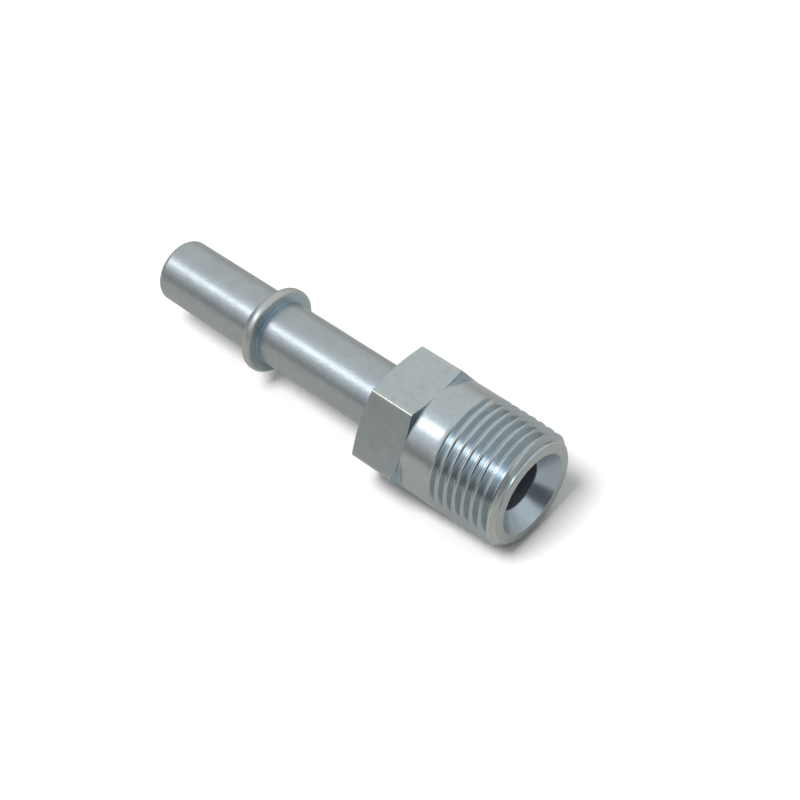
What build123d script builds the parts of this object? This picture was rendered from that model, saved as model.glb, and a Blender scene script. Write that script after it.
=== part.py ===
from build123d import *
import os
from math import atan, ceil, cos, degrees, radians, sin, sqrt, tan

# A fuel line adapter fitting, turned in one piece from hexagon bar: a push-in stem with a retaining
# bead, a spanner hexagon, a plain collar and a taper pipe thread, with one bore right through.
# Millimetres.  The axis lies along X, the thread points to +X and a hexagon flat faces the floor.

# Hexagon bar and the length of it that stays a spanner hexagon, with both its ends turned to a cone
hex_across_flats = 17.0
hex_corner_radius = 0.2
hex_length = 7.6
hex_chamfer_angle = 15.0
hex_end_face_diameter = 16.2

# Push-in stem
stem_diameter = 9.525
stem_wall = 1.1
stem_length = 42.5
stem_lead_radius = 0.95

# Retaining bead, with a ramp towards the stem's end and a square shoulder towards the hexagon
bead_height = 1.71
bead_shoulder_from_end = 20.3
bead_crest_width = 1.3
bead_ramp_width = 1.1
bead_foot_radius = 0.6
bead_crest_radius = 0.85
bead_shoulder_radius = 0.45

# Collar, and the end face with its chamfer and its coned mouth
collar_diameter = 16.95
nose_length = 15.4
face_chamfer = 1.085
face_chamfer_angle = 45.0
face_land = 1.25
mouth_half_angle = 45.0

# Taper pipe thread: eighteen turns to the inch, and one in sixteen on the diameter
thread_pitch = 25.4 / 18
thread_taper = 1 / 16
thread_taper_length = 4.48
thread_length = 10.34
thread_flank_angle = 30.0
thread_crest_flat = 0.16
thread_root_flat = 0.1
thread_start_angle = 198.0

# The lathe's outline passes the corners of the bar by this much
corner_clearance = 1.0
# The cutter stands this share of half a crest flat past each flank, so that turns never touch
cutter_overlap = 0.6
# The cutter leaves the collar on a tangent, and runs this much further than it needs to
way_out_margin = 1.2

# Stations along the axis, from the middle of the fitting's length
total_length = stem_length + hex_length + nose_length
x_face = total_length / 2
x_hex_front = x_face - nose_length
x_hex_back = x_hex_front - hex_length
x_stem_end = x_hex_back - stem_length
x_shoulder = x_stem_end + bead_shoulder_from_end
x_bead_crest = x_shoulder - bead_crest_width
x_bead_foot = x_bead_crest - bead_ramp_width
x_taper_start = x_face - thread_taper_length

# Radii and slopes
taper_angle = atan(thread_taper / 2)
stem_radius = stem_diameter / 2
bore_radius = stem_radius - stem_wall
bead_radius = stem_radius + bead_height
collar_radius = collar_diameter / 2
thread_end_radius = collar_radius - thread_taper_length * tan(taper_angle)
face_radius = thread_end_radius - face_chamfer
mouth_radius = face_radius - face_land
hex_corner_reach = hex_across_flats / 2 / cos(radians(30))
flank_slope = tan(radians(thread_flank_angle))
thread_depth = (thread_pitch - thread_crest_flat - thread_root_flat) / 2 / flank_slope

# The fitting lies on a flat of the bar
axis_height = hex_across_flats / 2


def hexagon_bar():
    """The bar that the fitting is turned from, with one flat up and one flat down."""
    section = RegularPolygon(hex_corner_reach, 6)
    section = fillet(section.vertices(), hex_corner_radius)
    bar_end = Plane(origin=(x_stem_end, 0, 0), x_dir=(0, 1, 0), z_dir=(1, 0, 0))
    return bar_end * extrude(section, total_length)


def turned_blank():
    """The outline that the lathe leaves, spun about the axis, before threading and boring."""
    clear_radius = hex_corner_reach + corner_clearance
    hex_slope = tan(radians(hex_chamfer_angle))
    hex_end_face_radius = hex_end_face_diameter / 2
    chamfer_length = face_chamfer / (tan(radians(face_chamfer_angle)) + tan(taper_angle))
    chamfer_top = thread_end_radius + chamfer_length * tan(taper_angle)
    corners = [
        (x_stem_end, 0, 0),
        (x_stem_end, stem_radius, stem_lead_radius),
        (x_bead_foot, stem_radius, bead_foot_radius),
        (x_bead_crest, bead_radius, bead_crest_radius),
        (x_shoulder, bead_radius, bead_shoulder_radius),
        (x_shoulder, stem_radius, 0),
        (x_hex_back, stem_radius, 0),
        (x_hex_back, hex_end_face_radius, 0),
        (x_hex_back + (clear_radius - hex_end_face_radius) * hex_slope, clear_radius, 0),
        (x_hex_front - (clear_radius - collar_radius) * hex_slope, clear_radius, 0),
        (x_hex_front, collar_radius, 0),
        (x_taper_start, collar_radius, 0),
        (x_face - chamfer_length, chamfer_top, 0),
        (x_face, face_radius, 0),
        (x_face, 0, 0),
    ]
    points = [(x, radius) for x, radius, corner_radius in corners]
    corner_radii = [corner_radius for x, radius, corner_radius in corners]
    outline = FilletPolyline(*points, radius=corner_radii, close=True)
    return revolve(make_face(outline), Axis.X)


def bore_and_mouth():
    """The drilled bore and its coned mouth."""
    mouth_depth = (mouth_radius - bore_radius) / tan(radians(mouth_half_angle))
    outline = Polyline(
        (x_stem_end, 0),
        (x_stem_end, bore_radius),
        (x_face - mouth_depth, bore_radius),
        (x_face, mouth_radius),
        (x_face, 0),
        close=True,
    )
    return revolve(make_face(outline), Axis.X)


def thread_section(root_radius):
    """The V that the cutter leaves, in the plane of the axis and one radius."""
    root_gap = thread_root_flat
    outer_gap = thread_pitch - thread_crest_flat * (1 - cutter_overlap)
    outer_radius = root_radius + (outer_gap - root_gap) / 2 / flank_slope
    return make_face(Polyline(
        (root_radius, -root_gap / 2),
        (outer_radius, -outer_gap / 2),
        (outer_radius, outer_gap / 2),
        (root_radius, root_gap / 2),
        close=True,
    ))


def thread_path(start_radius, length):
    """A tapered helix from the origin up Z, in equal pieces of less than one turn."""
    pieces = ceil(length / thread_pitch)
    step = length / pieces
    edges = []
    for i in range(pieces):
        helix = Helix(
            pitch=thread_pitch / cos(taper_angle),
            height=step,
            radius=start_radius + i * step * tan(taper_angle),
            cone_angle=degrees(taper_angle),
        )
        edges.append(Pos(0, 0, i * step) * Rot(0, 0, 360 * i * step / thread_pitch) * helix)
    return Wire(edges)


def thread_groove():
    """The right-hand taper groove: its turns, and the straight way out that ends it on the collar."""
    lead_in = thread_pitch
    start_radius = thread_end_radius - thread_depth - lead_in * tan(taper_angle)
    end_radius = thread_end_radius - thread_depth + thread_length * tan(taper_angle)
    path = thread_path(start_radius, lead_in + thread_length)
    turns = sweep(Plane.XZ * thread_section(start_radius), path=path, is_frenet=True)
    last_section = turns.faces().filter_by(GeomType.PLANE).sort_by(Axis.Z)[-1]
    tangent_length = sqrt(collar_radius**2 - end_radius**2)
    way_out = extrude(last_section, way_out_margin * tangent_length, dir=path % 1)
    start_angle = radians(thread_start_angle)
    from_face = Plane(
        origin=(x_face + lead_in, 0, 0),
        x_dir=(0, cos(start_angle), sin(start_angle)),
        z_dir=(-1, 0, 0),
    )
    return from_face.location * turns, from_face.location * way_out


def fitting_body():
    """Bar, turned, threaded and bored."""
    turns, way_out = thread_groove()
    body = (hexagon_bar() & turned_blank()) - turns - way_out - bore_and_mouth()
    return Pos(0, 0, axis_height) * body.solid()


os.makedirs("parts", exist_ok=True)
export_step(fitting_body(), "parts/fitting_body.step")
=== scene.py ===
from math import cos, pi, radians, sin, sqrt, tan

import bmesh
import bpy
from mathutils import Matrix, Vector


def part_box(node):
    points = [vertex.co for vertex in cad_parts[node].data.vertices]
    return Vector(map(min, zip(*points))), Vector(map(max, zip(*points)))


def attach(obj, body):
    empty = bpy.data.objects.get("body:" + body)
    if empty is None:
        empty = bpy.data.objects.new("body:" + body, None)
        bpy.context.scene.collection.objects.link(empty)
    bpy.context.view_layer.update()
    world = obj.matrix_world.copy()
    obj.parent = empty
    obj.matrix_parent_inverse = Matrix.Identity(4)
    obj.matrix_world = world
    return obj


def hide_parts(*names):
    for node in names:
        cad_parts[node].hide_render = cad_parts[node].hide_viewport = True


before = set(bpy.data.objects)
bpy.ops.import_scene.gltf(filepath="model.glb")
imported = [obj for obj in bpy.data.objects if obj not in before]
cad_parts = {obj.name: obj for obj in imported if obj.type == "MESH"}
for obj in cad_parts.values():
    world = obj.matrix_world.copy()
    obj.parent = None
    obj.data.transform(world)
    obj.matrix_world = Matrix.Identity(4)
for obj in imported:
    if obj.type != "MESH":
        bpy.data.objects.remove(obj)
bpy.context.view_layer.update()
mm = 0.001
scene = bpy.context.scene


# Turned blank.  The fitting is one piece of free-cutting steel, turned from hexagon bar and bored
# through.  Its outline is drawn in millimetres as a closed wire above the axis, rounded at its corners,
# and spun once round.
low, high = (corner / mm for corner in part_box("fitting_body"))
x_stem_end = low.x
x_face = high.x
hex_across_flats = high.z - low.z
axis_point = Vector((0, 0, hex_across_flats / 2))

stem_radius = 4.7625
stem_wall = 1.1
stem_length = 42.5
stem_lead_radius = 0.95
stem_root_radius = 0.3
bead_height = 1.71
bead_shoulder_from_end = 20.3
bead_crest_width = 1.3
bead_ramp_width = 1.1
bead_foot_radius = 0.6
bead_crest_radius = 0.85
bead_shoulder_radius = 0.45
bead_root_radius = 0.12
hex_length = 7.6
hex_end_face_radius = 8.1
hex_chamfer_slope = tan(radians(15))
collar_radius = 8.475
collar_root_radius = 0.1
thread_taper_length = 4.48
thread_taper_slope = 1 / 32
face_chamfer = 1.085
face_land = 1.25
plain_collar = 4.0
edge_break = 0.07
stem_bore_break = 0.05
face_rim_break = 0.14
corner_clearance = 0.5
arc_step = radians(8)
turning_steps = 330

bore_radius = stem_radius - stem_wall
bead_radius = stem_radius + bead_height
x_hex_back = x_stem_end + stem_length
x_hex_front = x_hex_back + hex_length
x_shoulder = x_stem_end + bead_shoulder_from_end
x_bead_crest = x_shoulder - bead_crest_width
x_bead_foot = x_bead_crest - bead_ramp_width
thread_end_radius = collar_radius - thread_taper_length * thread_taper_slope
face_radius = thread_end_radius - face_chamfer
mouth_radius = face_radius - face_land
chamfer_length = face_chamfer / (1 + thread_taper_slope)
hex_corner_reach = hex_across_flats / 2 / cos(radians(30))
clear_radius = hex_corner_reach + corner_clearance

# Stations along the axis, radii, and how far each corner is rounded
outline = [
    (x_stem_end, bore_radius, stem_bore_break),
    (x_stem_end, stem_radius, stem_lead_radius),
    (x_bead_foot, stem_radius, bead_foot_radius),
    (x_bead_crest, bead_radius, bead_crest_radius),
    (x_shoulder, bead_radius, bead_shoulder_radius),
    (x_shoulder, stem_radius, bead_root_radius),
    (x_hex_back, stem_radius, stem_root_radius),
    (x_hex_back, hex_end_face_radius, 0),
    (x_hex_back + (clear_radius - hex_end_face_radius) * hex_chamfer_slope, clear_radius, 0),
    (x_hex_front - (clear_radius - collar_radius) * hex_chamfer_slope, clear_radius, 0),
    (x_hex_front, collar_radius, collar_root_radius),
    (x_hex_front + plain_collar, collar_radius, 0),
    (x_face - thread_taper_length, collar_radius, 0),
    (x_face - chamfer_length, face_radius + chamfer_length, edge_break),
    (x_face, face_radius, face_rim_break),
    (x_face, mouth_radius, edge_break),
    (x_face - (mouth_radius - bore_radius), bore_radius, edge_break),
]


def rounded_wire(mesh, corners):
    """A closed wire above the axis through the corners, each rounded to its own radius."""
    points = [axis_point + Vector((x, 0, radius)) for x, radius, rounding in corners]
    verts = [mesh.verts.new(point) for point in points]
    for vert, following in zip(verts, verts[1:] + verts[:1]):
        mesh.edges.new((vert, following))
    for i, vert in enumerate(verts):
        rounding = corners[i][2]
        turn = (points[i] - points[i - 1]).angle(points[(i + 1) % len(points)] - points[i])
        if rounding:
            bmesh.ops.bevel(mesh, geom=[vert], offset=rounding * tan(turn / 2), offset_type="OFFSET",
                            segments=max(2, round(turn / arc_step)), profile=0.5,
                            affect="VERTICES", material=-1)


def mesh_object(name, mesh):
    """Turns a finished bmesh into an object of the scene."""
    data = bpy.data.meshes.new(name)
    mesh.to_mesh(data)
    mesh.free()
    shown = bpy.data.objects.new(name, data)
    scene.collection.objects.link(shown)
    return shown


def only(kind, items):
    return [item for item in items if isinstance(item, kind)]


blank = bmesh.new()
rounded_wire(blank, outline)
bmesh.ops.spin(blank, geom=blank.verts[:] + blank.edges[:], cent=axis_point, axis=(1, 0, 0),
               angle=2 * pi, steps=turning_steps, use_merge=True)
bmesh.ops.recalc_face_normals(blank, faces=blank.faces[:])
fitting = mesh_object("zinc_plated_fitting", blank)


# Hexagon bar.  The bar that the fitting is turned from, with its own drawn skin and small corner radii.
# What the lathe leaves of it is the spanner hexagon, so the blank keeps only what lies inside the bar.
hex_corner_radius = 0.36
hex_corner_segments = 6
bar_spare = 1.0
TURNED, DRAWN, THREADED = range(3)

bar = bmesh.new()
bmesh.ops.create_circle(bar, cap_ends=True, segments=6, radius=hex_corner_reach,
                        matrix=Matrix.Rotation(radians(90), 4, "Y"))
bmesh.ops.bevel(bar, geom=bar.verts[:], offset=hex_corner_radius * tan(radians(30)), offset_type="OFFSET",
                segments=hex_corner_segments, profile=0.5, affect="VERTICES", material=-1)
bmesh.ops.translate(bar, verts=bar.verts[:], vec=axis_point + Vector((x_stem_end - bar_spare, 0, 0)))
drawn = bmesh.ops.extrude_face_region(bar, geom=bar.faces[:])
bmesh.ops.translate(bar, verts=only(bmesh.types.BMVert, drawn["geom"]),
                    vec=(x_face - x_stem_end + 2 * bar_spare, 0, 0))
bmesh.ops.recalc_face_normals(bar, faces=bar.faces[:])
for face in bar.faces:
    face.material_index = DRAWN
hexagon_bar = mesh_object("hexagon_bar", bar)


# Taper pipe thread.  One V groove, eighteen turns to the inch and right-hand, that starts clear of the
# end face and leaves the collar on a straight tangent.  Its cutter is a straight bar, wound on.
thread_pitch = 25.4 / 18
thread_length = 10.34
thread_crest_flat = 0.16
thread_root_flat = 0.1
thread_start_angle = radians(198)
crest_break = 0.04
lip_across = 1.375 * crest_break
lip_rise = 0.22 * crest_break
shading_point = 0.62
steps_a_turn = 180
cutter_rise = 0.35
way_out_margin = 1.2

flank_slope = tan(radians(30))
thread_depth = (thread_pitch - thread_crest_flat - thread_root_flat) / 2 / flank_slope
root_end_radius = thread_end_radius - thread_depth
groove_half = (thread_pitch - thread_crest_flat) / 2
turns = (thread_pitch + thread_length) / thread_pitch
# Half of the groove, across it and above its root.  Below its extra point the flank is shaded flat, and
# from there up to the crest's broken edge it is shaded round.
half_profile = [
    (thread_root_flat / 2, 0),
    (thread_root_flat / 2 + shading_point * thread_depth * flank_slope, shading_point * thread_depth),
    (groove_half - crest_break * sin(radians(30)), thread_depth - crest_break * cos(radians(30))),
    (groove_half + lip_across, thread_depth + lip_rise),
    (groove_half + lip_across, thread_depth + cutter_rise),
]
cutter_profile = [(-across, rise) for across, rise in half_profile] + half_profile[::-1]


def across_axis(angle):
    return Vector((0, cos(angle), sin(angle)))


def wound_on(vert):
    """Winds a point of the straight bar, in turns along it, across it and above its root."""
    turn, across, rise = vert.co
    behind_face = (turn - 1) * thread_pitch
    root_radius = root_end_radius + behind_face * thread_taper_slope
    crest_radius = min(collar_radius, root_radius + thread_depth)
    share = (crest_radius - root_radius) / thread_depth
    radius = root_radius + (rise - across * thread_taper_slope) * share
    along = Vector((x_face - behind_face + across * share, 0, 0))
    vert.co = axis_point + along + across_axis(thread_start_angle - 2 * pi * turn) * radius


cutter = bmesh.new()
section = [cutter.verts.new((0, across, rise)) for across, rise in cutter_profile]
section_face = cutter.faces.new(section)
steps = round(steps_a_turn * turns)
straight_bar = bmesh.ops.spin(cutter, geom=[section_face] + section_face.edges[:] + section,
                              axis=(1, 0, 0), dvec=(turns / steps, 0, 0), angle=0, steps=steps)
for vert in cutter.verts:
    wound_on(vert)
last_face = only(bmesh.types.BMFace, straight_bar["geom_last"])
end_angle = thread_start_angle - 2 * pi * turns
end_radius = root_end_radius + thread_length * thread_taper_slope
way_out = Vector((-thread_pitch / (2 * pi * end_radius), sin(end_angle), -cos(end_angle)))
way_out_length = way_out_margin * sqrt(collar_radius**2 - end_radius**2)
run_out = bmesh.ops.extrude_face_region(cutter, geom=last_face)
bmesh.ops.translate(cutter, verts=only(bmesh.types.BMVert, run_out["geom"]), vec=way_out * way_out_length)
bmesh.ops.delete(cutter, geom=last_face, context="FACES_ONLY")
bmesh.ops.recalc_face_normals(cutter, faces=cutter.faces[:])
for face in cutter.faces:
    face.material_index = THREADED
groove_cutter = mesh_object("groove_cutter", cutter)


# Zinc plate.  Clear blue-white passivated zinc over fine turning marks: a satin grey metal, bluer in the
# grooves, and warmer where the thread's crests are rubbed.  Painted blue shade and reflection lie in the
# roots, cone and bore.
plate_grey = (0.550, 0.566, 0.566)
# Painted shade: the stem's plate is darker than the collar's, for the darker floor that it mirrors.
stem_painted_darker = (0.478, 0.494, 0.496)
# Painted shade, in blue, in the corners at the bead's and the collar's roots.
corner_painted_shade_blue = (0.370, 0.480, 0.560)
# Painted reflection, in blue, on the bead's square shoulder.
shoulder_painted_reflection_blue = (0.500, 0.590, 0.640)
# Painted shade, in blue, on the stem beside the hexagon.
stem_root_painted_shade_blue = (0.440, 0.480, 0.530)
# Painted reflection, in blue, in the mouth cone.
cone_painted_reflection_blue = (0.485, 0.552, 0.612)
# Painted shade: a dark blue inside the bore.
bore_painted_shade_blue = (0.260, 0.290, 0.350)
rubbed_warm = (0.585, 0.570, 0.535)
# Painted highlight and painted shade lines on the face chamfer, laid over its ring bump.
chamfer_painted_highlight = (0.760, 0.750, 0.710)
chamfer_painted_shade = (0.480, 0.490, 0.480)
drawn_grey = (0.560, 0.586, 0.586)
drawn_shade = (0.500, 0.540, 0.550)
streak_grey = (0.485, 0.505, 0.495)
# Paler hexagon corners: partly rubbed wear, partly a painted highlight on the corner radii.
worn_cream_and_highlight = (0.630, 0.615, 0.570)
groove_grey = (0.515, 0.565, 0.588)
groove_blue = (0.500, 0.560, 0.600)
thick_plate = (0.620, 0.680, 0.700)
thin_fleck = (0.400, 0.415, 0.375)

# Roughness, and what each area adds to the turned surfaces' own
turned_roughness, drawn_roughness, threaded_roughness = 0.27, 0.3, 0.19
stem_rougher, bore_rougher, cone_smoother, crests_smoother = 0.075, 0.3, -0.06, -0.02

# Heights of the marks in millimetres, and the weights of rings and pebble in them
turned_depth, drawn_depth, threaded_depth = 0.0012, 0.0015, 0.0008
stem_pebble, fine_pebble = 18, 3
chamfer_rings, stem_rings = 55.0, -0.5


def node_group(name, inputs, outputs):
    """A named group with its input and output nodes."""
    group = bpy.data.node_groups.new(name, "ShaderNodeTree")
    for label, kind in inputs:
        group.interface.new_socket(label, in_out="INPUT", socket_type=kind)
    for label, kind in outputs:
        group.interface.new_socket(label, in_out="OUTPUT", socket_type=kind)
    return group, group.nodes.new("NodeGroupInput"), group.nodes.new("NodeGroupOutput")


def placed(tree, group, *inputs):
    node = tree.nodes.new("ShaderNodeGroup")
    node.node_tree = group
    fill(tree, node.inputs, inputs)
    return node


def fill(tree, sockets, values):
    """Links or sets each socket in turn."""
    for socket, value in zip(sockets, values):
        if isinstance(value, bpy.types.NodeSocket):
            tree.links.new(value, socket)
        else:
            socket.default_value = value


def math_node(tree, operation, *inputs):
    node = tree.nodes.new("ShaderNodeMath")
    node.operation = operation
    fill(tree, node.inputs, inputs)
    return node.outputs[0]


def fade(tree, value, start, end):
    """From 0 at start to 1 at end, eased."""
    node = tree.nodes.new("ShaderNodeMapRange")
    node.interpolation_type = "SMOOTHSTEP"
    fill(tree, node.inputs, (value, start, end))
    return node.outputs["Result"]


def between(tree, value, start, end, ease):
    """1 from start to end, and eased to 0 outside."""
    return math_node(tree, "MULTIPLY", fade(tree, value, start - ease, start),
                     fade(tree, value, end + ease, end))


def mixed(tree, factor, first, second):
    """Passes from the first colour to the second, each a socket or three numbers."""
    node = tree.nodes.new("ShaderNodeMix")
    node.data_type = "RGBA"
    first, second = (item if isinstance(item, bpy.types.NodeSocket) else (*item, 1)
                     for item in (first, second))
    fill(tree, (node.inputs[0], node.inputs[6], node.inputs[7]), (factor, first, second))
    return node.outputs[2]


def noise(tree, dimensions, place, scale, detail):
    node = tree.nodes.new("ShaderNodeTexNoise")
    node.noise_dimensions = dimensions
    tree.links.new(place, node.inputs["W" if dimensions == "1D" else "Vector"])
    node.inputs["Scale"].default_value = scale
    node.inputs["Detail"].default_value = detail
    return node.outputs["Fac"]


# Millimetres along the axis and out from it
lathe_place, place_in, place_out = node_group(
    "lathe_place", [("Place", "NodeSocketVector")],
    [("Along", "NodeSocketFloat"), ("Radius", "NodeSocketFloat")])
place_split = lathe_place.nodes.new("ShaderNodeSeparateXYZ")
lathe_place.links.new(place_in.outputs["Place"], place_split.inputs["Vector"])
above_axis = math_node(lathe_place, "SUBTRACT", place_split.outputs["Z"], axis_point.z * mm)
squared = math_node(lathe_place, "ADD",
                    math_node(lathe_place, "MULTIPLY", place_split.outputs["Y"], place_split.outputs["Y"]),
                    math_node(lathe_place, "MULTIPLY", above_axis, above_axis))
radius_out = math_node(lathe_place, "MULTIPLY", math_node(lathe_place, "SQRT", squared), 1 / mm)
along_out = math_node(lathe_place, "MULTIPLY", place_split.outputs["X"], 1 / mm)
lathe_place.links.new(along_out, place_out.inputs["Along"])
lathe_place.links.new(radius_out, place_out.inputs["Radius"])

# Tool marks that run round the axis, and the fine pebble of the plate.  The feed leans, so that faces
# square to the axis are marked as well.
feed_lean = -0.62
coarse_feed_scale, fine_feed_scale = 1.7, 5.2
pebble_scale = 2700
turning_marks, marks_in, marks_out = node_group(
    "turning_marks",
    [("Place", "NodeSocketVector"), ("Along", "NodeSocketFloat"), ("Radius", "NodeSocketFloat")],
    [("Rings", "NodeSocketFloat"), ("Pebble", "NodeSocketFloat"), ("Tone", "NodeSocketFloat")])
feed = math_node(turning_marks, "MULTIPLY_ADD", marks_in.outputs["Radius"], feed_lean,
                 marks_in.outputs["Along"])
coarse_feed = noise(turning_marks, "1D", feed, coarse_feed_scale, 3)
fine_feed = noise(turning_marks, "1D", feed, fine_feed_scale, 2)
pebble = noise(turning_marks, "3D", marks_in.outputs["Place"], pebble_scale, 2)
for label, coarse_share in (("Rings", 0.8), ("Tone", 0.5)):
    coarse_part = math_node(turning_marks, "MULTIPLY", coarse_feed, coarse_share)
    turning_marks.links.new(math_node(turning_marks, "MULTIPLY_ADD", fine_feed, 0.5, coarse_part),
                            marks_out.inputs[label])
turning_marks.links.new(pebble, marks_out.inputs["Pebble"])

# Cloudy patches of thicker plate, and flecks of thinner plate
plate_clouds, clouds_in, clouds_out = node_group(
    "plate_clouds", [("Place", "NodeSocketVector")],
    [("Patch", "NodeSocketFloat"), ("Fleck", "NodeSocketFloat")])
for label, scale, detail, start, end in (("Patch", 420, 3, 0.35, 0.65), ("Fleck", 1500, 2, 0.4, 0.7)):
    cloud = noise(plate_clouds, "3D", clouds_in.outputs["Place"], scale, detail)
    plate_clouds.links.new(fade(plate_clouds, cloud, start, end), clouds_out.inputs[label])


def zinc_material(name):
    """A zinc material, its tree, its shader, its place on the lathe, its tool marks and its clouds."""
    material = bpy.data.materials.new(name)
    material.use_nodes = True
    tree = material.node_tree
    shader = tree.nodes["Principled BSDF"]
    shader.inputs["Metallic"].default_value = 1.0
    place = tree.nodes.new("ShaderNodeTexCoord").outputs["Object"]
    lathe = placed(tree, lathe_place, place)
    marks = placed(tree, turning_marks, place, lathe.outputs["Along"], lathe.outputs["Radius"])
    clouds = placed(tree, plate_clouds, place)
    return material, tree, shader, lathe, marks, clouds


def area(tree, lathe, start, end, ease, radius_off, radius_on):
    """1 from start to end along the axis, where the radius has passed from radius_off to radius_on."""
    return math_node(tree, "MULTIPLY", between(tree, lathe.outputs["Along"], start, end, ease),
                     fade(tree, lathe.outputs["Radius"], radius_off, radius_on))


def finish_zinc(tree, shader, marks, clouds, colour, roughness, rings, pebble_weight, depth):
    """Clouds the colour and connects colour, roughness and the height of the marks."""
    for label, share, tint in (("Patch", 0.20, thick_plate), ("Fleck", 0.17, thin_fleck)):
        colour = mixed(tree, math_node(tree, "MULTIPLY", clouds.outputs[label], share), colour, tint)
    bump = tree.nodes.new("ShaderNodeBump")
    bump.inputs["Distance"].default_value = depth * mm
    height = math_node(tree, "MULTIPLY_ADD", marks.outputs["Pebble"], pebble_weight, rings)
    tree.links.new(height, bump.inputs["Height"])
    sockets = [shader.inputs[label] for label in ("Base Color", "Roughness", "Normal")]
    fill(tree, sockets, (colour, roughness, bump.outputs["Normal"]))


# Turned surfaces: masks for the areas that the photo shows in other tints.  Their offsets are in
# millimetres from the station or the radius that they stand beside.
turned_zinc, tree, shader, lathe, marks, clouds = zinc_material("turned_zinc")
along, radius = lathe.outputs["Along"], lathe.outputs["Radius"]
on_stem = fade(tree, along, x_hex_back, x_hex_back - 0.5)
by_stem_root = between(tree, along, x_hex_back - 1.2, x_hex_back + 0.1, 3.0)
on_bead = area(tree, lathe, x_bead_foot, x_shoulder, 0.2, bead_radius - 0.9, bead_radius - 0.2)
by_shoulder = area(tree, lathe, x_shoulder - 0.2, x_shoulder + 0.1, 0.15,
                   bead_radius - 0.1, bead_radius - 0.5)
by_bead_root = area(tree, lathe, x_shoulder - 0.05, x_shoulder + 0.35, 0.4,
                    stem_radius + 0.35, stem_radius + 0.1)
by_collar_root = area(tree, lathe, x_hex_front - 0.6, x_hex_front + 0.1, 0.3,
                      collar_radius + 0.02, collar_radius + 0.15)
# Painted shade at the bead's and the collar's roots.
painted_root_shade = math_node(tree, "MAXIMUM", by_bead_root, by_collar_root)
in_cone = math_node(tree, "MULTIPLY", fade(tree, along, x_face - 2.5, x_face - 2.3),
                    fade(tree, radius, mouth_radius + 0.02, mouth_radius - 0.08))
on_crests = area(tree, lathe, x_face - 10.3, x_face - 1.2, 0.6, 7.9, 8.0)
in_bore = fade(tree, radius, bore_radius + 0.1, bore_radius + 0.03)
on_chamfer = area(tree, lathe, x_face - 1.15, x_face - 0.1, 0.15, face_radius - 0.2, face_radius)

# Painted highlight and shade lines on the chamfer, following the tool marks.
painted_ridge_lines = mixed(tree, fade(tree, marks.outputs["Tone"], 0.44, 0.56), chamfer_painted_shade, chamfer_painted_highlight)
colour = plate_grey
for mask, tint in ((on_stem, stem_painted_darker), (by_stem_root, stem_root_painted_shade_blue), (on_bead, rubbed_warm),
                   (by_shoulder, shoulder_painted_reflection_blue), (painted_root_shade, corner_painted_shade_blue), (in_cone, cone_painted_reflection_blue),
                   (on_crests, rubbed_warm), (in_bore, bore_painted_shade_blue), (on_chamfer, painted_ridge_lines)):
    colour = mixed(tree, mask, colour, tint)
roughness = turned_roughness
for mask, change in ((on_stem, stem_rougher), (in_bore, bore_rougher), (in_cone, cone_smoother),
                     (on_crests, crests_smoother)):
    roughness = math_node(tree, "MULTIPLY_ADD", mask, change, roughness)
ring_weight = 1.0
for mask, change in ((on_stem, stem_rings), (on_chamfer, chamfer_rings)):
    ring_weight = math_node(tree, "MULTIPLY_ADD", mask, change, ring_weight)
rings = math_node(tree, "MULTIPLY", marks.outputs["Rings"], ring_weight)
pebble_weight = math_node(tree, "MULTIPLY_ADD", on_stem, stem_pebble - fine_pebble, fine_pebble)
finish_zinc(tree, shader, marks, clouds, colour, roughness, rings, pebble_weight, turned_depth)

# Drawn flats: short streaks, and paler corners, partly rubbed wear and partly a painted highlight on the
# corner radii
drawn_zinc, tree, shader, lathe, marks, clouds = zinc_material("drawn_zinc")
stretch = tree.nodes.new("ShaderNodeMapping")
stretch.inputs["Scale"].default_value = (0.6, 1, 1)
tree.links.new(tree.nodes["Texture Coordinate"].outputs["Object"], stretch.inputs["Vector"])
streaks = fade(tree, noise(tree, "3D", stretch.outputs["Vector"], 1000, 4), 0.42, 0.68)
on_corner = fade(tree, lathe.outputs["Radius"], hex_corner_reach - 0.32, hex_corner_reach - 0.14)
colour = mixed(tree, math_node(tree, "MULTIPLY", marks.outputs["Tone"], 0.1), drawn_grey, drawn_shade)
colour = mixed(tree, math_node(tree, "MULTIPLY", streaks, 0.45), colour, streak_grey)
colour = mixed(tree, on_corner, colour, worn_cream_and_highlight)
finish_zinc(tree, shader, marks, clouds, colour, drawn_roughness, marks.outputs["Rings"], fine_pebble,
            drawn_depth)

# Thread grooves
threaded_zinc, tree, shader, lathe, marks, clouds = zinc_material("threaded_zinc")
colour = mixed(tree, math_node(tree, "MULTIPLY", clouds.outputs["Patch"], 0.5), groove_grey, groove_blue)
finish_zinc(tree, shader, marks, clouds, colour, threaded_roughness, marks.outputs["Rings"], fine_pebble,
            threaded_depth)

for piece in (fitting, hexagon_bar, groove_cutter):
    for material in (turned_zinc, drawn_zinc, threaded_zinc):
        piece.data.materials.append(material)


# Assembled form.  The blank is kept inside the bar and cut by the thread's cutter, its rims behind the
# hexagon are broken, and the whole is brought to metres.
rim_break = 0.06
rim_reach = 1.0
rim_segments = 4
weld_distance = 0.0005
sharp_from = radians(36)


def shaped(target, tool, operation):
    """Puts one exact boolean on the target, after those that it has."""
    cut = target.modifiers.new(operation.lower(), "BOOLEAN")
    cut.operation = operation
    cut.solver = "EXACT"
    cut.object = tool


shaped(fitting, hexagon_bar, "INTERSECT")
shaped(fitting, groove_cutter, "DIFFERENCE")
bpy.context.view_layer.update()
formed = bpy.data.meshes.new_from_object(fitting.evaluated_get(bpy.context.evaluated_depsgraph_get()))
fitting.modifiers.clear()
for tool in (hexagon_bar, groove_cutter):
    bpy.data.objects.remove(tool)


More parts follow.
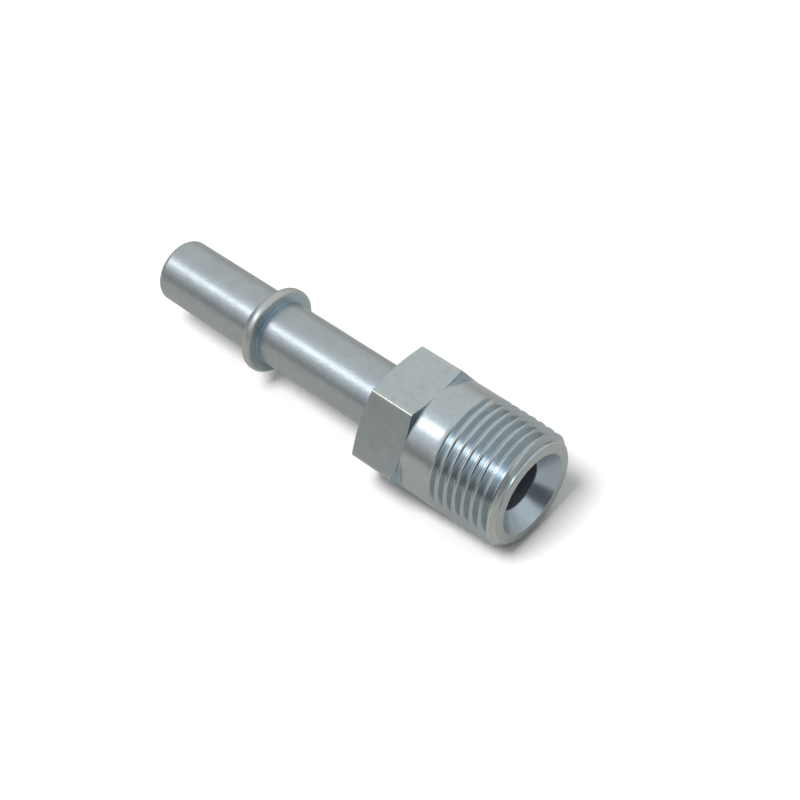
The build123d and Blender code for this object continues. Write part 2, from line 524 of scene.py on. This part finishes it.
def on_back_rim(edge):
    """Whether an edge lies where the hexagon's rear cone meets its flats."""
    sides = {face.material_index for face in edge.link_faces}
    return sides == {TURNED, DRAWN} and edge.verts[0].co.x < x_hex_back + rim_reach


body = bmesh.new()
body.from_mesh(formed)
bmesh.ops.remove_doubles(body, verts=body.verts[:], dist=weld_distance)
bmesh.ops.bevel(body, geom=[edge for edge in body.edges if on_back_rim(edge)], offset=rim_break,
                offset_type="OFFSET", segments=rim_segments, profile=0.5, affect="EDGES", material=-1)
bmesh.ops.scale(body, verts=body.verts[:], vec=(mm, mm, mm))
body.to_mesh(formed)
body.free()
fitting.data = formed
formed.shade_smooth()
formed.set_sharp_from_angle(angle=sharp_from)
weight = fitting.modifiers.new("weight_normals", "WEIGHTED_NORMAL")
weight.keep_sharp = True

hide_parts("fitting_body")
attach(fitting, "root")


# Table.  A flat white floor that the fitting lies on, far wider than the view.  The camera sees it lit past
# white, as in a light box, with painted contact shade close to the fitting, while the metal mirrors it as a
# plain pale floor.
table_size = 3.0
shade_reach = 3 * mm
table_lit = (1, 0.965, 0.945)
table_shaded = (0.42, 0.405, 0.395)
table_mirrored = (0.465, 0.465, 0.447, 1)

table_mesh = bmesh.new()
bmesh.ops.create_grid(table_mesh, x_segments=1, y_segments=1, size=table_size / 2)
table = mesh_object("white_table", table_mesh)
table_material = bpy.data.materials.new("white_table")
table_material.use_nodes = True
tree = table_material.node_tree
tree.nodes.remove(tree.nodes["Principled BSDF"])
# Painted contact shade: close to the fitting, the table colour that the camera sees darkens.
close_by = tree.nodes.new("ShaderNodeAmbientOcclusion")
close_by.inputs["Distance"].default_value = shade_reach
seen_white = tree.nodes.new("ShaderNodeBsdfDiffuse")
seen_colour = mixed(tree, fade(tree, close_by.outputs["AO"], 0.1, 0.8), table_shaded, table_lit)
mirrored_white = tree.nodes.new("ShaderNodeBsdfDiffuse")
fill(tree, (seen_white.inputs["Color"], mirrored_white.inputs["Color"]), (seen_colour, table_mirrored))
seen_or_mirrored = tree.nodes.new("ShaderNodeMixShader")
light_path = tree.nodes.new("ShaderNodeLightPath")
fill(tree, seen_or_mirrored.inputs, (light_path.outputs["Is Camera Ray"], mirrored_white.outputs["BSDF"],
                                     seen_white.outputs["BSDF"]))
tree.links.new(seen_or_mirrored.outputs["Shader"], tree.nodes["Material Output"].inputs["Surface"])
table.data.materials.append(table_material)


# Light.  One soft oval light from beyond the stem that only the metal mirrors, another that falls only on
# the table, and a bright room, darker low down on the camera's side and weaker where it lights the table.
room_low = (0.57, 0.59, 0.575)
room_high = (0.72, 0.77, 0.79)
room_by_key = (0.80, 0.90, 1.02)
room_behind_camera = (0.18, 0.19, 0.20)
operator_dark = (0.11, 0.12, 0.13)
room_on_table = 0.66
key_towards = (-0.47, -0.436, 0.760)
table_light_towards = (-0.06, -0.385, 0.921)
operator_towards = (0.876, -0.383, 0.293)


def area_light(name, towards, distance, size, watts, colour=(1, 1, 1)):
    """An oval light, its long side along the fitting's axis."""
    data = bpy.data.lights.new(name, "AREA")
    data.shape = "ELLIPSE"
    data.size, data.size_y = size
    data.energy = watts
    data.color = colour
    light = bpy.data.objects.new(name, data)
    back = Vector(towards).normalized()
    beside = Vector((1, 0, 0)).cross(back).normalized() * -1
    frame_of_light = Matrix((beside.cross(back), beside, back)).transposed()
    light.matrix_world = Matrix.Translation(axis_point * mm + back * distance) @ frame_of_light.to_4x4()
    scene.collection.objects.link(light)
    return light


mirrored_light = area_light("mirrored_light", key_towards, 1.5, (0.75, 0.34), 2.1, (0.93, 0.98, 1.0))
mirrored_light.visible_diffuse = False
table_light = area_light("table_light", table_light_towards, 0.6, (0.24, 0.24), 2.95)
table_light.visible_glossy = False

world = bpy.data.worlds.new("studio")
world.use_nodes = True
tree = world.node_tree
background = tree.nodes["Background"]
direction = tree.nodes.new("ShaderNodeTexCoord").outputs["Generated"]
split = tree.nodes.new("ShaderNodeSeparateXYZ")
tree.links.new(direction, split.inputs["Vector"])
height = split.outputs["Z"]


def seen_near(aim, start, end):
    """From 0 to 1 as the direction turns towards the aim, by the cosine between the two."""
    cosine = tree.nodes.new("ShaderNodeVectorMath")
    cosine.operation = "DOT_PRODUCT"
    tree.links.new(direction, cosine.inputs[0])
    cosine.inputs[1].default_value = aim
    return fade(tree, cosine.outputs["Value"], start, end)


room = mixed(tree, fade(tree, height, 0.0, 0.35), room_low, room_high)
room = mixed(tree, seen_near(Vector(key_towards).normalized(), 0.84, 1.0), room, room_by_key)
camera_side = math_node(tree, "MULTIPLY", fade(tree, split.outputs["Y"], 0.1, -0.4),
                        fade(tree, height, 0.62, 0.0))
room = mixed(tree, camera_side, room, room_behind_camera)
room = mixed(tree, seen_near(operator_towards, 0.86, 0.96), room, operator_dark)
onto_table = tree.nodes.new("ShaderNodeLightPath").outputs["Is Diffuse Ray"]
strength = math_node(tree, "MULTIPLY_ADD", onto_table, room_on_table - 1.0, 1.0)
fill(tree, (background.inputs["Color"], background.inputs["Strength"]), (room, strength))
scene.world = world
scene.view_settings.view_transform = "Standard"


# Camera.  At the photograph's angle: above and beside the threaded end, near enough for the photo's
# perspective, and rolled a little about its own line of sight.
camera_azimuth = radians(45.573)
camera_elevation = radians(49.451)
camera_roll = radians(-5.158)
camera_distance = 220.693 * mm
camera_aim = Vector((8.938, 1.188, 8.5)) * mm
camera_lens = 73.79
camera_sensor = 36

camera_data = bpy.data.cameras.new("camera")
camera_data.lens = camera_lens
camera_data.sensor_width = camera_sensor
camera_data.clip_start = 0.01
camera = bpy.data.objects.new("camera", camera_data)
back = Vector((sin(camera_azimuth) * cos(camera_elevation), -cos(camera_azimuth) * cos(camera_elevation),
               sin(camera_elevation)))
level = back.to_track_quat("Z", "Y").to_matrix()
turned = level @ Matrix.Rotation(camera_roll, 3, "Z")
camera.matrix_world = Matrix.Translation(camera_aim + back * camera_distance) @ turned.to_4x4()
scene.collection.objects.link(camera)
scene.camera = camera
